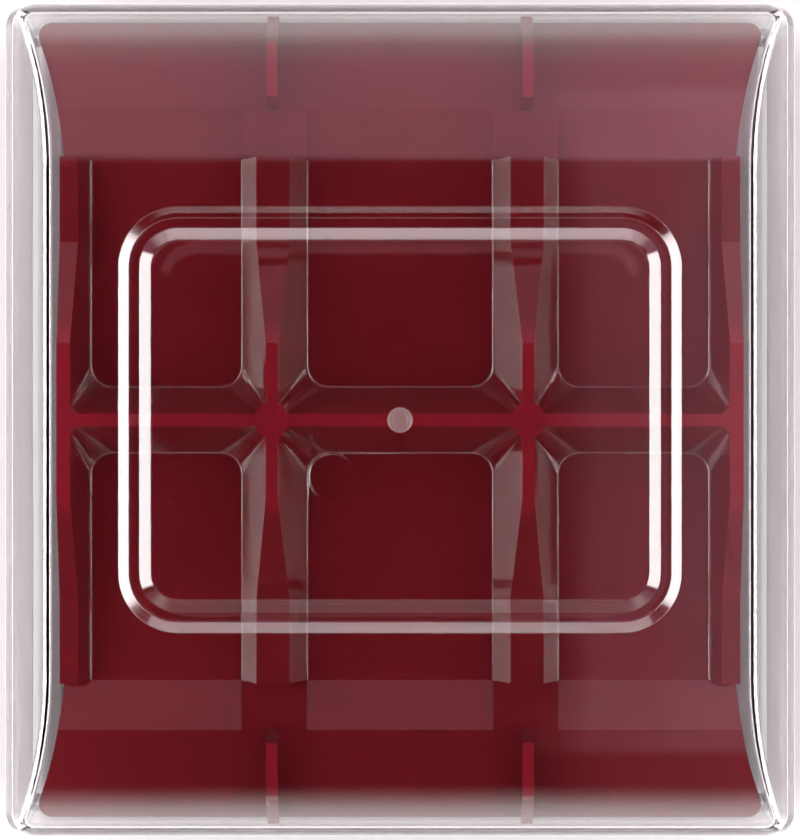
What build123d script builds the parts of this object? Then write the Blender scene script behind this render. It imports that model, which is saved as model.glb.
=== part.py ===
from build123d import *
from math import atan2, cos, degrees, radians, sin, tan
import os

os.makedirs("parts", exist_ok=True)

# A square ink pad in a clear two-part case. X runs across the case, Y from front to back,
# Z up from the surface that it stands on. All sizes are in millimetres.

# Case
case_width = 89.0
case_depth = 93.7
clear_wall = 1.2
wall_draft = 1.0
corner_radius = 2.4
lid_gap = 0.15

# Heights of the case, from the surface up
foot_height = 0.8
base_floor = 1.6
crown_rise = 4.8
crown_gap = 2.7
stack_ring_height = 0.75

# Arched crown of the lid and its leaning ends
flank_run = 18.85
flank_radius = 51.0
flank_sweep = 30.0
end_lean_run = 5.6
crest_radius = 1.7
shoulder_radius = 0.8
inner_crest_radius = 0.4

# Raised stacking ring on the crown and the foot ring that nests over it
ring_margin_x = 7.95
ring_margin_y = 4.6
ring_slope = 1.3
ring_land = 1.05
ring_inner_radius = 3.0
ring_outer_radius = 6.6
ring_edge_radius = 0.3
stack_gap = 0.4
foot_width = 1.6
gate_radius = 1.35
gate_bore_radius = 0.72
gate_height = 0.25
gate_slope = 0.2

# Well of the base
well_height = 6.0
well_inset = 5.1
well_corner_radius = 4.4
detent_proud = 0.1
detent_pit = 0.15
detent_length = 12.0
detent_spread = 44.0
detent_rise = 4.4
detent_height = 1.2
base_edge_radius = 0.5

# Pad tray and what it holds
tray_gap = 0.3
tray_wall = 1.2
tray_floor = 1.2
tray_height = 5.2
film = 0.15
film_margin = 4.0
pad_gap = 0.2
board = 1.0
foam = 2.5
felt = 3.0
cloth = 0.4
pad_edge_radius = 1.4

# Lid insert
insert_plate = 1.2
pad_clearance = 0.5
insert_gap = 0.15
insert_end_gap = 0.4
insert_corner_radius = 1.5
end_land = 9.8
end_ramp_run = 5.5
end_ramp_rise = 1.0
lip_gap = 0.3
lip_wall = 1.2
lip_depth = 4.3

# Ribs on the lid insert
rib_height = 5.4
rib_base_half = 3.7
rib_flank_run = 3.05
rail_flank_run = 1.5
rib_offset = 14.3
rail_base = 3.0
pocket_corner_radius = 2.6
pocket_mouth_radius = 1.0
pocket_foot_radius = 0.35
rib_high_half = 8.6
rib_low_start = 20.0
rib_low_height = 3.25
fin_width = 1.3
fin_start_run = 0.8
fin_end_drop = 3.0
fin_end_run = 3.2
fin_press = 0.02
boss_radius = 1.95
boss_rise = 0.15
ejector_radius = 2.8
ejector_depth = 0.2
ejector_slope = 0.3
ejector_x = -7.8
ejector_y = -6.45

# Levels that follow, from the surface up
base_top = foot_height + base_floor
tray_level = base_top + film
board_level = tray_level + tray_floor + film
foam_level = board_level + board
felt_level = foam_level + foam
cloth_level = felt_level + felt
insert_level = cloth_level + cloth + pad_clearance
floor_level = insert_level + insert_plate
land_level = floor_level + end_ramp_rise
rib_level = floor_level + rib_height
crown_inner_level = rib_level + crown_gap
crown_level = crown_inner_level + clear_wall
shoulder_level = crown_level - crown_rise
skirt_height = shoulder_level - base_top
detent_level = base_top + detent_rise

# Half sizes and radii that follow
half_width = case_width / 2
half_depth = case_depth / 2
end_lean = atan2(end_lean_run, crown_rise)
draft_slope = tan(radians(wall_draft))
crown_half_x = half_width - end_lean_run
crown_half_y = half_depth - flank_run
ring_half_x = crown_half_x - ring_margin_x
ring_half_y = crown_half_y - ring_margin_y
ring_band = 2 * ring_slope + ring_land
foot_half_x = ring_half_x + stack_gap + foot_width
foot_half_y = ring_half_y + stack_gap + foot_width
wall_outer_x = half_width - clear_wall - lid_gap
wall_outer_y = half_depth - clear_wall - lid_gap
wall_corner_radius = corner_radius - clear_wall - lid_gap
well_inner_x = half_width - well_inset - clear_wall
well_inner_y = wall_outer_y - clear_wall
lip_outer_x = well_inner_x - lip_gap
lip_outer_y = well_inner_y - lip_gap
lip_outer_radius = well_corner_radius - lip_gap
tray_outer_x = lip_outer_x - lip_wall - tray_gap
tray_outer_y = lip_outer_y - lip_wall - tray_gap
tray_outer_radius = lip_outer_radius - lip_wall - tray_gap
pad_half_x = tray_outer_x - tray_wall - pad_gap
pad_half_y = tray_outer_y - tray_wall - pad_gap
pad_corner_radius = tray_outer_radius - tray_wall
insert_half_x = (
    half_width
    - clear_wall / cos(end_lean)
    - (crown_inner_level - shoulder_level) * tan(end_lean)
    - insert_gap
)
insert_half_y = half_depth - clear_wall - (rib_level - base_top) * draft_slope - insert_end_gap
ramp_end = insert_half_y - end_land
pocket_end = ramp_end - end_ramp_run
rail_x = insert_half_x - rail_base


def lid_form(inset, corner, crest, shoulder):
    """The solid that fills the lid, with every wall moved in by inset."""
    crown = crown_level - inset
    radius = flank_radius - inset
    arc_end = crown_half_y + radius * sin(radians(flank_sweep))
    lean_shift = inset / cos(end_lean)
    beyond = 2 * crown_rise
    mid_skirt = base_top + skirt_height / 2
    margin = crown_rise / 8
    with BuildPart() as form:
        with BuildSketch(Plane.XY.offset(base_top)):
            Rectangle(case_width - 2 * inset, case_depth - 2 * inset)
        extrude(amount=skirt_height + beyond, taper=wall_draft)
        with BuildSketch(Plane.YZ):
            with BuildLine():
                Line((0, crown), (crown_half_y, crown))
                flank = CenterArc(
                    (crown_half_y, crown - radius), radius, 90 - flank_sweep, flank_sweep
                )
                Line(flank @ 0, (arc_end, 0))
                Line((arc_end, 0), (0, 0))
                mirror(about=Plane.YZ)
            make_face()
        extrude(amount=case_width, both=True, mode=Mode.INTERSECT)
        with BuildSketch(Plane.XZ):
            foot_x = half_width - lean_shift
            with BuildLine():
                Polyline(
                    (0, 0),
                    (foot_x + shoulder_level * tan(end_lean), 0),
                    (foot_x - beyond * tan(end_lean), shoulder_level + beyond),
                    (0, shoulder_level + beyond),
                )
                mirror(about=Plane.YZ)
            make_face()
        extrude(amount=case_depth, both=True, mode=Mode.INTERSECT)
        corners = form.edges().filter_by(
            lambda e: abs(abs((e @ 0).X) - abs((e @ 1).X)) < end_lean_run
            and abs((e @ 0).Z - (e @ 1).Z) > margin
            and e.length < 2 * skirt_height
            and e.geom_type == GeomType.LINE
        )
        fillet(corners, radius=corner)
        above = form.edges().filter_by(lambda e: min((e @ 0).Z, (e @ 1).Z) > mid_skirt)
        shoulders = above.filter_by(lambda e: (e @ 0.5).Z < shoulder_level + margin)
        seams = above.filter_by(
            lambda e: abs(abs((e @ 0.5).Y) - crown_half_y) < margin and abs((e @ 0.5).X) < margin
        )
        fillet(above - shoulders - seams, radius=crest)
        rim = form.edges().filter_by(
            lambda e: min((e @ 0).Z, (e @ 1).Z) > mid_skirt
            and (e @ 0.5).Z < shoulder_level + margin
            and e.length > corner
        )
        fillet(rim.filter_by(Axis.Y), radius=shoulder)
    return form.part


# Clear lid: an arched shell with leaning ends and a raised ring for stacking
lid_outer = lid_form(0, corner_radius, crest_radius, shoulder_radius)
lid_inner = lid_form(clear_wall, corner_radius - clear_wall, inner_crest_radius, inner_crest_radius)
ring_taper = degrees(atan2(ring_slope, stack_ring_height))
with BuildPart() as lid_shell:
    add(lid_outer)
    add(lid_inner, mode=Mode.SUBTRACT)
    with BuildSketch(Plane.XY.offset(crown_level)):
        RectangleRounded(2 * ring_half_x, 2 * ring_half_y, ring_outer_radius)
    extrude(amount=stack_ring_height, taper=ring_taper)
    with BuildSketch(Plane.XY.offset(crown_level)):
        RectangleRounded(
            2 * (ring_half_x - ring_band), 2 * (ring_half_y - ring_band), ring_inner_radius
        )
    extrude(amount=stack_ring_height, taper=-ring_taper, mode=Mode.SUBTRACT)
    land_edges = lid_shell.faces().sort_by(Axis.Z)[-1].edges()
    foot_edges = lid_shell.edges().filter_by(
        lambda e: abs((e @ 0.5).Z - crown_level) < stack_ring_height / 4
        and abs((e @ 0.5).X) < ring_half_x + ring_slope
        and abs((e @ 0.5).Y) < ring_half_y + ring_slope
    )
    fillet(land_edges + foot_edges, radius=ring_edge_radius)
    # Trace of the moulding gate in the middle of the crown
    with BuildSketch(Plane.XY.offset(crown_level)):
        Circle(gate_radius)
        Circle(gate_bore_radius, mode=Mode.SUBTRACT)
    extrude(amount=gate_height, taper=degrees(atan2(gate_slope, gate_height)))
    # Shallow pits inside the front and back walls for the catches of the base
    for side in (-1, 1):
        pit_y = side * (half_depth - clear_wall - detent_rise * draft_slope)
        with BuildSketch(Plane.XZ.offset(-pit_y)):
            with Locations((-detent_spread / 2, detent_level), (detent_spread / 2, detent_level)):
                Rectangle(detent_length + lid_gap, detent_height + lid_gap)
        extrude(amount=-side * detent_pit, mode=Mode.SUBTRACT)
lid_shell.part.label = "lid_shell"
export_step(lid_shell.part, "parts/lid_shell.step")

# Grid of tapered ribs on the lid insert, with three pairs of pockets between them
pocket_out = pocket_end + rib_base_half
pocket_y = (pocket_out + rib_base_half) / 2
pocket_length = pocket_out - rib_base_half
outer_foot = (rib_offset + rib_base_half, rail_x)
outer_mouth = (outer_foot[0] - rib_flank_run, rail_x + rail_flank_run)
middle_foot = rib_offset - rib_base_half
middle_mouth = middle_foot + rib_flank_run
with BuildPart() as pocket_cores:
    for foot, mouth in (
        ((-outer_foot[1], -outer_foot[0]), (-outer_mouth[1], -outer_mouth[0])),
        ((-middle_foot, middle_foot), (-middle_mouth, middle_mouth)),
        (outer_foot, outer_mouth),
    ):
        for y in (-pocket_y, pocket_y):
            with BuildSketch(Plane(((foot[0] + foot[1]) / 2, y, floor_level))):
                RectangleRounded(foot[1] - foot[0], pocket_length, pocket_corner_radius)
            with BuildSketch(Plane(((mouth[0] + mouth[1]) / 2, y, rib_level))):
                RectangleRounded(
                    mouth[1] - mouth[0],
                    pocket_length + 2 * rib_flank_run,
                    pocket_mouth_radius,
                )
            loft(ruled=True)
    fillet(pocket_cores.faces().filter_by(Plane.XY).group_by(Axis.Z)[0].edges(), pocket_foot_radius)
with BuildPart() as rib_grid:
    with BuildSketch(Plane.XY.offset(insert_level)):
        Rectangle(2 * insert_half_x, 2 * pocket_end)
    extrude(amount=insert_plate + rib_height)
    add(pocket_cores.part, mode=Mode.SUBTRACT)
    # The ribs stand highest near the middle and fall away towards the ends
    for side in (-1, 1):
        with BuildSketch(Plane.YZ):
            with BuildLine():
                Polyline(
                    (side * rib_high_half, rib_level),
                    (side * rib_low_start, floor_level + rib_low_height),
                    (side * pocket_out, floor_level + rib_low_height),
                    (side * pocket_out, rib_level),
                    close=True,
                )
            make_face()
        extrude(amount=insert_half_x, both=True, mode=Mode.SUBTRACT)

# Lid insert: one moulding, held in the lid by the ends of its four fins
bow_radius = flank_radius / tan(end_lean)
bow_run = insert_half_y - crown_half_y
bow_out = bow_radius - (bow_radius**2 - bow_run**2) ** 0.5
fin_top_y = insert_half_y - fin_end_run
fin_end_level = rib_level - fin_end_drop
lid_wall_y = half_depth - clear_wall + fin_press
fin_low_y = lid_wall_y - (land_level - base_top) * draft_slope
fin_high_y = lid_wall_y - (fin_end_level - base_top) * draft_slope
with BuildPart() as lid_insert:
    with BuildSketch(Plane.XY.offset(insert_level)) as outline:
        with BuildLine():
            Line((0, 0), (insert_half_x, 0))
            Line((insert_half_x, 0), (insert_half_x, crown_half_y))
            RadiusArc(
                (insert_half_x, crown_half_y),
                (insert_half_x + bow_out, insert_half_y),
                bow_radius,
            )
            Line((insert_half_x + bow_out, insert_half_y), (0, insert_half_y))
            Line((0, insert_half_y), (0, 0))
        make_face()
        mirror(about=Plane.YZ)
        mirror(about=Plane.XZ)
        fillet(outline.vertices().group_by(SortBy.DISTANCE)[-1], insert_corner_radius)
    extrude(amount=land_level - insert_level)
    # Floor between the two raised end lands, with a ramp up to each
    with BuildSketch(Plane.YZ):
        Polygon(
            (-ramp_end, land_level),
            (-pocket_end, floor_level),
            (pocket_end, floor_level),
            (ramp_end, land_level),
            align=None,
        )
    extrude(amount=half_width, both=True, mode=Mode.SUBTRACT)
    add(rib_grid.part)
    for x in (-rib_offset, rib_offset):
        for side in (-1, 1):
            # Each long rib ends at a flat step across the ramp, and a fin stands on the land beyond
            with BuildSketch(Plane.XY.offset(floor_level)):
                with Locations((x, side * (pocket_end + ramp_end) / 2)):
                    Rectangle(2 * rib_base_half, ramp_end - pocket_end)
            extrude(amount=end_ramp_rise)
            with BuildSketch(Plane.YZ.offset(x)):
                Polygon(
                    (side * ramp_end, floor_level),
                    (side * ramp_end, land_level),
                    (side * (ramp_end + fin_start_run), rib_level),
                    (side * fin_top_y, rib_level),
                    (side * fin_high_y, fin_end_level),
                    (side * fin_low_y, land_level),
                    (side * fin_top_y, floor_level),
                    align=None,
                )
            extrude(amount=fin_width / 2, both=True)
    with BuildSketch(Plane.XY.offset(rib_level)):
        with Locations((-rib_offset, 0), (rib_offset, 0)):
            Circle(boss_radius)
    extrude(amount=boss_rise)
    # Mark of an ejector pin in one pocket
    with BuildSketch(Plane.XY.offset(floor_level - ejector_depth)):
        with Locations((ejector_x, ejector_y)):
            Circle(ejector_radius - ejector_slope)
    extrude(
        amount=ejector_depth,
        taper=-degrees(atan2(ejector_slope, ejector_depth)),
        mode=Mode.SUBTRACT,
    )
    # Lip that closes around the pad tray
    with BuildSketch(Plane.XY.offset(insert_level)):
        RectangleRounded(2 * lip_outer_x, 2 * lip_outer_y, lip_outer_radius)
        RectangleRounded(
            2 * (lip_outer_x - lip_wall),
            2 * (lip_outer_y - lip_wall),
            lip_outer_radius - lip_wall,
            mode=Mode.SUBTRACT,
        )
    extrude(amount=-lip_depth)
lid_insert.part.label = "lid_insert"
export_step(lid_insert.part, "parts/lid_insert.step")

# Clear base: a floor on a foot ring, with a walled well for the tray
with BuildPart() as base_shell:
    with BuildSketch(Plane.XY.offset(foot_height)):
        RectangleRounded(case_width, case_depth, corner_radius)
    extrude(amount=base_floor)
    fillet(base_shell.faces().sort_by(Axis.Z)[0].outer_wire().edges(), base_edge_radius)
    with BuildSketch():
        RectangleRounded(2 * foot_half_x, 2 * foot_half_y, ring_outer_radius + stack_gap + foot_width)
        RectangleRounded(
            2 * (foot_half_x - foot_width),
            2 * (foot_half_y - foot_width),
            ring_outer_radius + stack_gap,
            mode=Mode.SUBTRACT,
        )
    extrude(amount=foot_height)
    with BuildSketch(Plane.XY.offset(base_top)):
        RectangleRounded(2 * wall_outer_x, 2 * wall_outer_y, wall_corner_radius)
    extrude(amount=well_height, taper=wall_draft)
    with BuildSketch(Plane.XY.offset(base_top)):
        RectangleRounded(2 * well_inner_x, 2 * well_inner_y, well_corner_radius)
        side_width = wall_outer_x - well_inner_x - clear_wall
        side_x = wall_outer_x - side_width / 2
        with Locations((-side_x, 0), (side_x, 0)):
            Rectangle(side_width, 2 * well_inner_y)
    extrude(amount=well_height, mode=Mode.SUBTRACT)
    # Catches on the front and back walls
    for side in (-1, 1):
        wall_y = wall_outer_y - detent_rise * draft_slope
        with BuildSketch(Plane.XZ.offset(-side * (wall_y - clear_wall / 2))):
            with Locations((-detent_spread / 2, detent_level), (detent_spread / 2, detent_level)):
                Rectangle(detent_length, detent_height)
        extrude(amount=-side * (clear_wall / 2 + detent_proud))
base_shell.part.label = "base_shell"
export_step(base_shell.part, "parts/base_shell.step")

# Film that fixes the tray to the floor of the base
with BuildPart() as tray_film:
    with BuildSketch(Plane.XY.offset(base_top)):
        RectangleRounded(
            2 * (tray_outer_x - film_margin), 2 * (tray_outer_y - film_margin), tray_outer_radius
        )
    extrude(amount=film)
tray_film.part.label = "tray_film"
export_step(tray_film.part, "parts/tray_film.step")

# Pad tray: an open moulded dish
with BuildPart() as pad_tray:
    with BuildSketch(Plane.XY.offset(tray_level)):
        RectangleRounded(2 * tray_outer_x, 2 * tray_outer_y, tray_outer_radius)
    extrude(amount=tray_height)
    with BuildSketch(Plane.XY.offset(tray_level + tray_floor)):
        RectangleRounded(
            2 * (tray_outer_x - tray_wall),
            2 * (tray_outer_y - tray_wall),
            pad_corner_radius,
        )
    extrude(amount=tray_height - tray_floor, mode=Mode.SUBTRACT)
pad_tray.part.label = "pad_tray"
export_step(pad_tray.part, "parts/pad_tray.step")

# Film that fixes the board of the pad in the tray
with BuildPart() as board_film:
    with BuildSketch(Plane.XY.offset(tray_level + tray_floor)):
        RectangleRounded(
            2 * (pad_half_x - film_margin), 2 * (pad_half_y - film_margin), pad_corner_radius
        )
    extrude(amount=film)
board_film.part.label = "board_film"
export_step(board_film.part, "parts/board_film.step")

# Stiff board that carries the pad
with BuildPart() as pad_board:
    with BuildSketch(Plane.XY.offset(board_level)):
        RectangleRounded(2 * pad_half_x, 2 * pad_half_y, pad_corner_radius)
    extrude(amount=board)
pad_board.part.label = "pad_board"
export_step(pad_board.part, "parts/pad_board.step")

# Springy foam under the felt
with BuildPart() as pad_foam:
    with BuildSketch(Plane.XY.offset(foam_level)):
        RectangleRounded(
            2 * (pad_half_x - cloth), 2 * (pad_half_y - cloth), pad_corner_radius - cloth
        )
    extrude(amount=foam)
pad_foam.part.label = "pad_foam"
export_step(pad_foam.part, "parts/pad_foam.step")

# Felt that holds the ink, rounded over along its top edge
with BuildPart() as ink_felt:
    with BuildSketch(Plane.XY.offset(felt_level)):
        RectangleRounded(
            2 * (pad_half_x - cloth), 2 * (pad_half_y - cloth), pad_corner_radius - cloth
        )
    extrude(amount=felt)
    fillet(ink_felt.faces().sort_by(Axis.Z)[-1].edges(), pad_edge_radius - cloth)
ink_felt.part.label = "ink_felt"
export_step(ink_felt.part, "parts/ink_felt.step")

# Cloth cover drawn over the felt and foam and fixed to the board
with BuildPart() as ink_cloth:
    with BuildSketch(Plane.XY.offset(foam_level)):
        RectangleRounded(2 * pad_half_x, 2 * pad_half_y, pad_corner_radius)
    extrude(amount=foam + felt + cloth)
    fillet(ink_cloth.faces().sort_by(Axis.Z)[-1].edges(), pad_edge_radius)
    add(pad_foam.part, mode=Mode.SUBTRACT)
    add(ink_felt.part, mode=Mode.SUBTRACT)
ink_cloth.part.label = "ink_cloth"
export_step(ink_cloth.part, "parts/ink_cloth.step")
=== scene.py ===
import math

import bmesh
import bpy
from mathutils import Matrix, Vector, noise


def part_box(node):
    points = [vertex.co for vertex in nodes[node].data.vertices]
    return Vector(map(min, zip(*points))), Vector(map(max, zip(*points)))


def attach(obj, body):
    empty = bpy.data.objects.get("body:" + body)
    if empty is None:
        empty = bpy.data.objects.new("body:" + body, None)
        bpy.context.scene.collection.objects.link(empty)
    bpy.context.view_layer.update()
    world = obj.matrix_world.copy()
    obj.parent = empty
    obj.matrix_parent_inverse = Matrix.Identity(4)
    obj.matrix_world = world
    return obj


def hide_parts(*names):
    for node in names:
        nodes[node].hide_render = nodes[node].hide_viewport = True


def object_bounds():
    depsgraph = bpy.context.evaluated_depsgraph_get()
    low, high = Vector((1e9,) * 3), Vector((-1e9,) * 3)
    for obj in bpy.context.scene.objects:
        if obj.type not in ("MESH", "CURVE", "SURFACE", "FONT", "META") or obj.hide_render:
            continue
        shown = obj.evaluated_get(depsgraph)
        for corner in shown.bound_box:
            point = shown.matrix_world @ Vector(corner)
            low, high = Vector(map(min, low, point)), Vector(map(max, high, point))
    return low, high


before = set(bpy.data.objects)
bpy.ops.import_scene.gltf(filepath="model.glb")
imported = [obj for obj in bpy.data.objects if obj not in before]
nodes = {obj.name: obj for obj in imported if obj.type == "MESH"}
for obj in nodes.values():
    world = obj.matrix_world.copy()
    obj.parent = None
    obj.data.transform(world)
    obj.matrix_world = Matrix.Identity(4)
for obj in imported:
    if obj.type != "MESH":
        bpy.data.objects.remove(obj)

case_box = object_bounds()


# Clear base shell: the floor of the case on its foot ring, with a shallow walled well.
# Injection-moulded polystyrene straight from a polished tool, so it is glass clear, with faint
# flow waves in its faces and fine handling scratches.
class Amount:
    """A number that varies over a surface, put together with ordinary operators."""

    def __init__(self, owner, socket):
        self.owner = owner
        self.socket = socket

    def _with(self, operation, first, second):
        return self.owner.node("Math", {"operation": operation}, {0: first, 1: second})

    def __add__(self, other):
        return self._with("ADD", self, other)

    def __radd__(self, other):
        return self._with("ADD", other, self)

    def __sub__(self, other):
        return self._with("SUBTRACT", self, other)

    def __rsub__(self, other):
        return self._with("SUBTRACT", other, self)

    def __mul__(self, other):
        return self._with("MULTIPLY", self, other)

    def __rmul__(self, other):
        return self._with("MULTIPLY", other, self)

    def __pow__(self, other):
        return self._with("POWER", self, other)


class Nodes:
    """A node tree, and the ways that nodes are added to it."""

    def __init__(self, tree):
        self.tree = tree
        self.tree.nodes.clear()

    def feed(self, socket, value):
        """Sets a socket to a plain value, or links what varies into it."""
        if isinstance(value, Amount):
            self.tree.links.new(value.socket, socket)
        else:
            socket.default_value = value

    def node(self, kind, settings=None, sockets=None, out=0):
        """Adds a node: its settings first, then the values or links of its sockets."""
        made = self.tree.nodes.new("ShaderNode" + kind)
        for key, value in (settings or {}).items():
            setattr(made, key, value)
        for key, value in (sockets or {}).items():
            self.feed(made.inputs[key], value)
        return Amount(self, made.outputs[out])

    def rise(self, value, low, high):
        """0 below low, 1 above high, and a soft edge between them."""
        sockets = {"Value": value, "From Min": low, "From Max": high}
        return self.node("MapRange", {"interpolation_type": "SMOOTHSTEP"}, sockets)

    def size(self, value):
        """The value without its sign."""
        return self.node("Math", {"operation": "ABSOLUTE"}, {0: value})

    def most(self, first, second):
        """The larger of two values."""
        return self.node("Math", {"operation": "MAXIMUM"}, {0: first, 1: second})

    def axes(self, vector):
        """The three numbers of a vector."""
        split = self.node("SeparateXYZ", {}, {0: vector}).socket.node
        return [Amount(self, split.outputs[i]) for i in range(3)]

    def blend(self, share, first, second):
        """The mix of two colours by share."""
        settings = {"data_type": "RGBA"}
        sockets = {"Factor": share, 6: first, 7: second}
        return self.node("Mix", settings, sockets, out=2)


class Finish(Nodes):
    """The material of one moulding or fabric, and the nodes that vary it over the piece."""

    def __init__(self, name, **constants):
        self.material = bpy.data.materials.new(name)
        self.material.use_nodes = True
        super().__init__(self.material.node_tree)
        self.shader = self.tree.nodes.new("ShaderNodeBsdfPrincipled")
        self.output = self.tree.nodes.new("ShaderNodeOutputMaterial")
        self.tree.links.new(self.shader.outputs[0], self.output.inputs["Surface"])
        for socket, value in constants.items():
            self.shader.inputs[socket.replace("_", " ")].default_value = value

    def set(self, **sockets):
        """Feeds the sockets of the shader."""
        for name, value in sockets.items():
            self.feed(self.shader.inputs[name.replace("_", " ")], value)

    def place(self):
        """Where a point of the piece is, in metres."""
        return self.node("TexCoord", out="Object")

    def cloud(self, size, detail, where=None, stretch=(1, 1, 1)):
        """Soft lumps about size across, in metres, drawn out along the axes by stretch."""
        scale = tuple(1 / (size * s) for s in stretch)
        at = self.node("Mapping", {}, {"Vector": where or self.place(), "Scale": scale})
        return self.node("TexNoise", {}, {"Vector": at, "Scale": 1.0, "Detail": detail})

    def relief(self, height, depth):
        """Normals of a relief that is depth deep, in metres."""
        return self.node("Bump", {}, {"Height": height, "Distance": depth, "Strength": 1.0})

    def overlay(self, share, shader):
        """Lays another shader over the finish, by share."""
        finish = Amount(self, self.shader.outputs[0])
        mixed = self.node("MixShader", {}, {0: share, 1: finish, 2: shader})
        self.feed(self.output.inputs["Surface"], mixed)


def wear(node, finish):
    """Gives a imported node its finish."""
    nodes[node].material_slots[0].material = finish.material


styrene_index = 1.59
clear = Finish("clear_styrene", Transmission_Weight=1.0, IOR=styrene_index)
east_at, north_at, up_at = clear.axes(clear.place())
flow = clear.cloud(0.012, 1.0, stretch=(1, 2.5, 1))
marks = clear.cloud(0.0016, 4.0, stretch=(6, 0.5, 1))
# The gate was broken off in the middle of the lid, and its trace is rough
gate_edge = (0.0013, 0.0015)
lid_level = (0.012, 0.013)
from_axis = (east_at**2 + north_at**2) ** 0.5
torn = (1 - clear.rise(from_axis, *gate_edge)) * clear.rise(up_at, *lid_level)
clear.set(
    Base_Color=(0.985, 0.97, 0.976, 1),
    Roughness=0.015 + 0.03 * marks**3 + 0.5 * torn,
    Normal=clear.relief(flow, 0.00004),
)
# Painted rim light: a milky white diffuse layer, strongest where the outer walls are seen edge-on,
# stands in for the light that the clear walls carry along their edges
rim_start, rim_full = 0.0016, 0.0013
most_rim_light = 0.9
half_x, half_y = case_box[1].x, case_box[1].y
rim_x = clear.rise(clear.size(east_at), half_x - rim_start, half_x - rim_full)
rim_y = clear.rise(clear.size(north_at), half_y - rim_start, half_y - rim_full)
facing = clear.node("LayerWeight", {}, {"Blend": 0.5}, out="Facing")
rim_light_milk = clear.node("BsdfDiffuse", {}, {"Color": (0.92, 0.86, 0.88, 1)})
clear.overlay(most_rim_light * clear.most(rim_x, rim_y) * facing**3, rim_light_milk)
wear("base_shell", clear)

# Films: two die-cut sheets of double-sided tape with a hazy cream adhesive. One fixes the tray to
# the base, and the other fixes the pad's board to the tray.
film = Finish("adhesive_film", Roughness=0.45, Transmission_Weight=0.35)
film_mottle = film.cloud(0.004, 3.0)
film.set(Base_Color=film.blend(film_mottle, (0.80, 0.78, 0.70, 1), (0.90, 0.89, 0.84, 1)))
wear("tray_film", film)
wear("board_film", film)

# Pad tray: an open dish stuck to the floor of the base. It is moulded in wine-red polystyrene,
# glossy from the tool. The tops of the high, thin ribs of the lid insert in the same plastic are
# painted a lighter red, a painted highlight.
wine = Finish("wine_styrene", IOR=styrene_index)
melt = wine.cloud(0.009, 3.0)
grain = wine.cloud(0.0007, 2.0)
crest_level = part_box("lid_insert")[1].z
highlight_start, highlight_full = 0.0007, 0.0002
wine_level = wine.axes(wine.place())[2]
# Painted highlight: the colour turns a lighter red just below the top of the lid insert, standing
# in for the light its rib tops catch
painted_rib_top_highlight = wine.rise(wine_level, crest_level - highlight_start, crest_level - highlight_full)
deep = wine.blend(melt, (0.135, 0.0085, 0.0125, 1), (0.17, 0.0105, 0.0155, 1))
wine.set(
    Base_Color=wine.blend(0.5 * painted_rib_top_highlight, deep, (0.32, 0.012, 0.028, 1)),
    Roughness=0.06 + 0.06 * melt,
    Normal=wine.relief(grain, 0.00001),
)
wear("pad_tray", wine)

# Board of the pad: a die-cut sheet of satin white styrene that keeps the pad flat. It was rolled,
# which left faint streaks along it.
board = Finish("white_board")
calender = board.cloud(0.0025, 3.0, stretch=(1, 8, 1))
board.set(
    Base_Color=board.blend(calender, (0.76, 0.76, 0.74, 1), (0.86, 0.86, 0.85, 1)),
    Roughness=0.34 + 0.14 * calender,
    Normal=board.relief(calender, 0.00003),
)
wear("pad_board", board)

# Foam: a die-cut block of fine open-cell foam. The drawn cover keeps its cut sides a little
# hollow, and its faces show the cells.
foam = Finish("foam", Sheen_Weight=0.2)
cells_per_metre = 2200.0
cell_sockets = {"Vector": foam.place(), "Scale": cells_per_metre}
cell_pits_and_shade = foam.node("TexVoronoi", {"feature": "SMOOTH_F1"}, cell_sockets)
patches = foam.cloud(0.006, 3.0)
# Painted shade: the colour darkens towards the middle of each cell, where the relief sinks,
# standing in for the shade in the pits of the cells
foam.set(
    Base_Color=foam.blend(cell_pits_and_shade, (0.60, 0.57, 0.50, 1), (0.82, 0.80, 0.74, 1)),
    Roughness=0.85 + 0.1 * patches,
    Normal=foam.relief(cell_pits_and_shade, 0.00018),
)


def round_over(bm, edges, width):
    """Rounds edges over by width."""
    bmesh.ops.bevel(bm, geom=edges, offset=width, offset_type="OFFSET", segments=6,
                    profile=0.5, affect="EDGES", material=-1)


def as_object(bm, name):
    """Makes an object of a finished bmesh."""
    mesh = bpy.data.meshes.new(name)
    bm.to_mesh(mesh)
    bm.free()
    made = bpy.data.objects.new(name, mesh)
    bpy.context.scene.collection.objects.link(made)
    return made


def applied(piece):
    """The mesh of a piece with its modifiers applied."""
    evaluated = piece.evaluated_get(bpy.context.evaluated_depsgraph_get())
    return bpy.data.meshes.new_from_object(evaluated)


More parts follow.
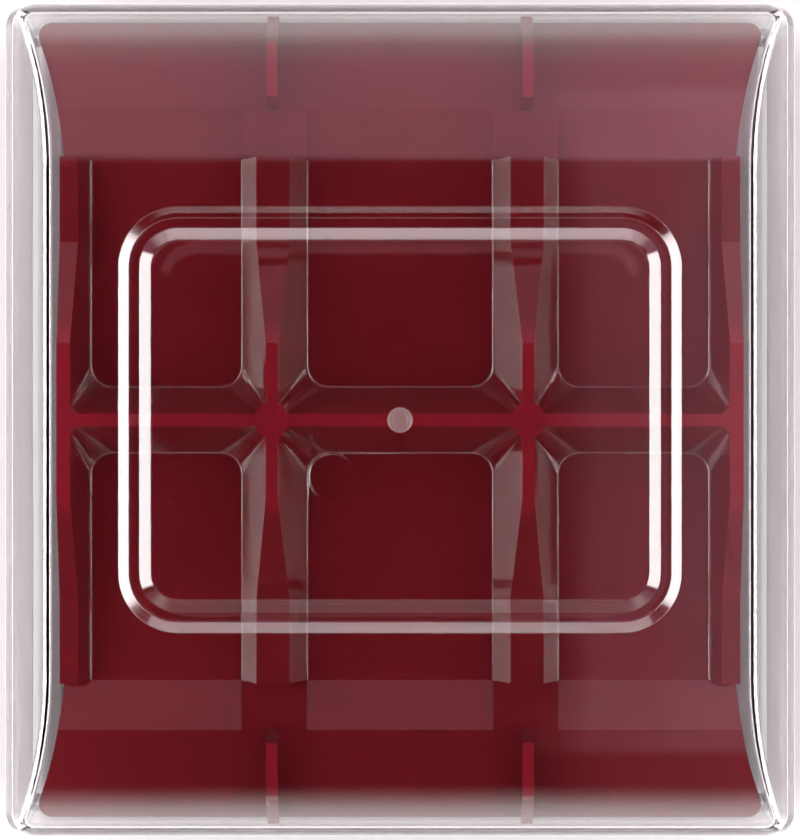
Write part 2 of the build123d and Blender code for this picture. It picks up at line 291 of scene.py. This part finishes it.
def soft_block(name, like, corner, edge, voxel, lumps):
    """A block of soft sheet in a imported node's box.

    Its upright edges are rounded by corner and its upper edge by edge. Its skin is made of voxels,
    with lumps of the given size in its top and sides a little hollow.
    """
    lump_share, hollow_share, side_share = 0.25, 0.3, 0.49
    low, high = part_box(like)
    centre, span = (low + high) / 2, high - low
    bm = bmesh.new()
    bmesh.ops.create_cube(bm, size=1.0)
    bmesh.ops.scale(bm, vec=span, verts=bm.verts)
    bmesh.ops.translate(bm, vec=centre, verts=bm.verts)
    upright = [e for e in bm.edges if abs(e.verts[0].co.z - e.verts[1].co.z) > corner / 2]
    round_over(bm, upright, corner)
    rim = [e for e in bm.edges if all(v.co.z > high.z - 1e-6 for v in e.verts)]
    round_over(bm, rim, edge)
    made = as_object(bm, name)
    remesh = made.modifiers.new("even", "REMESH")
    remesh.mode = "VOXEL"
    remesh.voxel_size = voxel
    even = applied(made)
    made.modifiers.clear()
    made.data = even
    for vertex in even.vertices:
        lump = noise.noise(vertex.co / lumps) * voxel * lump_share
        away = vertex.co - centre
        away.z = 0
        hollow = math.sin(math.pi * (vertex.co.z - low.z) / span.z)
        if max(abs(away.x) / span.x, abs(away.y) / span.y) > side_share:
            vertex.co -= away.normalized() * voxel * hollow_share * hollow
        vertex.co.z = min(max(vertex.co.z - abs(lump), low.z), high.z)
    for face in even.polygons:
        face.use_smooth = True
    return made


foam_block = soft_block("foam_block", "pad_foam", 0.0008, 0.0003, 0.0008, 0.006)
foam_block.data.materials.append(foam.material)
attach(foam_block, "base")
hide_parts("pad_foam")

# Felt: dense wool felt that holds the ink, soft along its upper edge. Its fibres lie both ways,
# and the ink has soaked it unevenly.
felt = Finish("felt", Sheen_Weight=0.5, Sheen_Roughness=0.6)
fibre = 0.0006
fibres = felt.cloud(fibre, 6.0, stretch=(1, 3, 1)) + felt.cloud(fibre, 6.0, stretch=(3, 1, 1))
soaked = felt.cloud(0.01, 3.0)
felt.set(
    Base_Color=felt.blend(0.5 * fibres, (0.06, 0.006, 0.012, 1), (0.26, 0.03, 0.05, 1)),
    Roughness=0.7 + 0.25 * soaked,
    Normal=felt.relief(fibres, 0.00015),
)
felt_block = soft_block("felt_block", "ink_felt", 0.0008, 0.001, 0.0007, 0.004)
felt_block.data.materials.append(felt.material)
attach(felt_block, "base")
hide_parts("ink_felt")

# Cover: plain-woven cotton, soaked with ink, drawn over the felt and foam and fixed to the board.
# Each corner is gathered into small pleats.
thread = 0.00042
cover = soft_block("cover_cloth", "ink_cloth", 0.0013, 0.0014, 0.0009, 0.012)


def swell(piece, held_below, pressure, frames, most):
    """Lets the cloth swell over the pad for some frames, and moves no point by more than most."""
    rest = [v.co.copy() for v in piece.data.vertices]
    held = piece.vertex_groups.new(name="fixed")
    fixed = [v.index for v in piece.data.vertices if v.co.z < held_below]
    held.add(fixed, 1.0, "REPLACE")
    cloth = piece.modifiers.new("cloth", "CLOTH")
    cloth.settings.quality = 8
    cloth.settings.mass = 0.1
    cloth.settings.use_pressure = True
    cloth.settings.uniform_pressure_force = pressure
    cloth.settings.vertex_group_mass = "fixed"
    cloth.settings.effector_weights.gravity = 0.0
    cloth.point_cache.frame_end = frames
    scene = bpy.context.scene
    for frame_number in range(1, frames + 1):
        scene.frame_set(frame_number)
    swollen = applied(piece)
    piece.modifiers.clear()
    piece.data = swollen
    for vertex, was in zip(swollen.vertices, rest):
        moved = vertex.co - was
        if moved.length > most:
            vertex.co = was + moved.normalized() * most
    scene.frame_set(1)


low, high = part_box("ink_cloth")
swell(cover, low.z + 0.0015, 2.0, 14, 0.00025)
bm = bmesh.new()
bm.from_mesh(cover.data)
under = [f for f in bm.faces if f.calc_center_median().z < low.z + 0.0002 and f.normal.z < -0.5]
bmesh.ops.delete(bm, geom=under, context="FACES")
# Pleats run down each corner from the rounded edge of the pad
pleat_reach = 0.006
pleat_depth = 0.00016
pleat_turns = 26
pleat_top = high.z - 0.0003
for vertex in bm.verts:
    corner_x = abs(vertex.co.x) - high.x + pleat_reach
    corner_y = abs(vertex.co.y) - high.y + pleat_reach
    if corner_x > 0 and corner_y > 0 and vertex.co.z < pleat_top:
        turn = math.atan2(corner_y, corner_x)
        drop = (high.z - vertex.co.z) / (high.z - low.z)
        depth = pleat_depth * drop * min(corner_x, corner_y) / pleat_reach
        vertex.co.x *= 1 - depth / high.x * (1 + math.sin(turn * pleat_turns))
        vertex.co.y *= 1 - depth / high.y * (1 + math.sin(turn * pleat_turns))
# The weave follows the cloth as it was cut, with the sides folded out flat
cut = bm.loops.layers.uv.new("cut")
for face in bm.faces:
    for loop in face.loops:
        at = loop.vert.co
        drop = high.z - at.z
        if abs(face.normal.x) > abs(face.normal.y):
            across_cut, along_cut = at.x + math.copysign(drop, at.x), at.y
        else:
            across_cut, along_cut = at.x, at.y + math.copysign(drop, at.y)
        loop[cut].uv = (across_cut, along_cut)
bm.to_mesh(cover.data)
bm.free()
for face in cover.data.polygons:
    face.use_smooth = True
wall = cover.modifiers.new("thickness", "SOLIDIFY")
wall.thickness = 0.00035
wall.offset = -1.0

weave = Finish("inked_cloth", Sheen_Weight=0.35, Sheen_Roughness=0.4)
on_cut = weave.node("UVMap", {"uv_map": "cut"})
warp_at, weft_at, _ = weave.axes(on_cut)
waver = 0.35 * thread * (weave.cloud(0.003, 2.0, where=on_cut) - 0.5)
turns = math.pi / thread
warp = weave.node("Math", {"operation": "SINE"}, {0: (warp_at + waver) * turns})
weft = weave.node("Math", {"operation": "SINE"}, {0: (weft_at + waver) * turns})
over = warp * weft
warp_height = weave.size(warp) ** 0.6 + 0.7 * over
weft_height = weave.size(weft) ** 0.6 - 0.7 * over
height = weave.most(warp_height, weft_height)
lint = weave.cloud(0.0003, 4.0, where=on_cut)
pool = weave.cloud(0.012, 3.0, where=on_cut)
# Painted shade: the hollows between the raised threads are darker and the thread crowns lighter;
# the lint and the pools of ink vary the cloth's own tone
thread_shade_and_ink_tone = 0.35 * height + 0.35 * lint + 0.3 * pool
weave.set(
    Base_Color=weave.blend(thread_shade_and_ink_tone, (0.035, 0.002, 0.006, 1), (0.19, 0.018, 0.032, 1)),
    Roughness=0.45 + 0.3 * pool + 0.1 * lint,
    Normal=weave.relief(height + 0.3 * lint, 0.00009),
)
cover.data.materials.append(weave.material)
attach(cover, "base")
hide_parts("ink_cloth")

# Lid insert: the same wine-red polystyrene, in one moulding with tapered ribs, pockets and a lip
# that closes round the tray. Its edges are broken by the polish of the tool.
wear("lid_insert", wine)
for moulding in ("pad_tray", "lid_insert"):
    join = nodes[moulding].modifiers.new("join", "WELD")
    join.merge_threshold = 1e-6
    broken = nodes[moulding].modifiers.new("broken_edges", "BEVEL")
    broken.width = 0.00018
    broken.segments = 3
    broken.limit_method = "ANGLE"
    broken.angle_limit = math.radians(50)
    broken.harden_normals = True

# Lid shell: the same clear polystyrene as the base, in one arched moulding. It carries the
# stacking ring, and the trace of its gate is in the middle.
wear("lid_shell", clear)

# Table, lights and camera: a plain pale table in a small studio. Two bright softboxes stand at the
# left and the right, a dimmer one in front, and pale cards hang behind and at the right.
table_drop = 0.0001
bm = bmesh.new()
bmesh.ops.create_grid(bm, x_segments=1, y_segments=1, size=3.0)
bmesh.ops.translate(bm, vec=(0, 0, -table_drop), verts=bm.verts)
table = as_object(bm, "table")
paper = Finish("table_paper", Roughness=0.6)
paper.set(Base_Color=(0.58, 0.565, 0.57, 1))
# The table hides nothing from below, where the underside of the case is looked at
paper.overlay(paper.node("NewGeometry", out="Backfacing"), paper.node("BsdfTransparent"))
table.data.materials.append(paper.material)


class Studio(Nodes):
    """The light that comes from each direction of the room."""

    def __init__(self, name):
        self.world = bpy.data.worlds.new(name)
        self.world.use_nodes = True
        super().__init__(self.world.node_tree)
        self.background = self.tree.nodes.new("ShaderNodeBackground")
        self.output = self.tree.nodes.new("ShaderNodeOutputWorld")
        self.tree.links.new(self.background.outputs[0], self.output.inputs["Surface"])


studio = Studio("studio")
east, north, up = studio.axes(studio.node("TexCoord", out="Generated"))
# How far a direction leads east and north for each unit that it climbs
above = studio.most(up, 0.02)
across = studio.node("Math", {"operation": "DIVIDE"}, {0: east, 1: above})
along = studio.node("Math", {"operation": "DIVIDE"}, {0: north, 1: above})
west = 0 - across
south = 0 - along
aside = studio.size(across)
astray = studio.size(along)
rise = studio.rise
soft_edge = 0.08


def fall(value, low, high):
    """1 below low, 0 above high, and a soft edge between them."""
    return 1 - rise(value, low, high)


def band(value, low, high):
    """1 between low and high, with soft edges."""
    start = rise(value, low - soft_edge / 2, low + soft_edge / 2)
    return start * fall(value, high - soft_edge / 2, high + soft_edge / 2)


# The softboxes at the sides reach from box_near to box_far, and are brightest along their edges
box_near, box_far = 1.15, 3.2
far_edge = 2.1
side_reach = fall(astray, 1.1, 1.9)
west_box = 9.5 * band(west, box_near, box_far) + 7.0 * band(west, box_near, 1.38)
west_box += 8.0 * band(west, far_edge, box_far)
east_box = 2.0 * band(across, box_near, box_far) + 15.0 * band(across, box_near, 1.37)
east_box += 15.0 * band(across, far_edge, box_far)
# The box in front has a bright upper edge and a dimmer part near the table
south_box = 3.4 * rise(south, 0.8, 1.2) * fall(south, 1.42, 1.5) + 2.0 * band(south, 1.3, 1.46)
south_light = (south_box + 3.4 * band(south, 2.05, 2.9)) * fall(aside, 1.3, 1.6)
# The card behind begins high above the case and has a brighter strip across it
card_width = fall(aside, 1.0, 1.1)
north_card = 0.8 * rise(along, 0.165, 0.185) * fall(along, 1.5, 1.8)
north_glow = 1.6 * rise(along, 0.85, 1.1) * fall(along, 1.15, 1.35)
north_light = (north_card + north_glow) * card_width
east_card = 0.25 * rise(across, 0.07, 0.1) + 0.13 * rise(across, 0.125, 0.155)
east_width = fall(across, 0.8, 1.0) * fall(astray, 0.5, 0.6)
horizon = 0.6 * fall(up, 0.2, 0.28)
light = (west_box + east_box) * side_reach + north_light + south_light
light += east_card * east_width + horizon
# The camera sees an even pale wall instead of the boxes
wall_light = 0.9
seen = studio.node("LightPath", out="Is Camera Ray")
studio.feed(studio.background.inputs["Strength"], light * (1 - seen) + wall_light * seen)
# Both cards are a pale pink
north_blush = rise(along, 0.1, 0.16) * fall(along, 0.7, 0.9) * card_width
east_blush = rise(across, 0.05, 0.07) * east_width
blush = studio.most(north_blush, east_blush) * (1 - seen)
tint = studio.blend(blush, (1, 1, 1, 1), (1, 0.62, 0.75, 1))
studio.feed(studio.background.inputs["Color"], tint)
bpy.context.scene.world = studio.world
bpy.context.scene.view_settings.view_transform = "Standard"

camera = bpy.data.cameras.new("camera")
camera.sensor_width = 36.0
camera.lens = 86.0
viewer = bpy.data.objects.new("camera", camera)
bpy.context.scene.collection.objects.link(viewer)
viewer.location = (0, 0, 0.242)
bpy.context.scene.camera = viewer
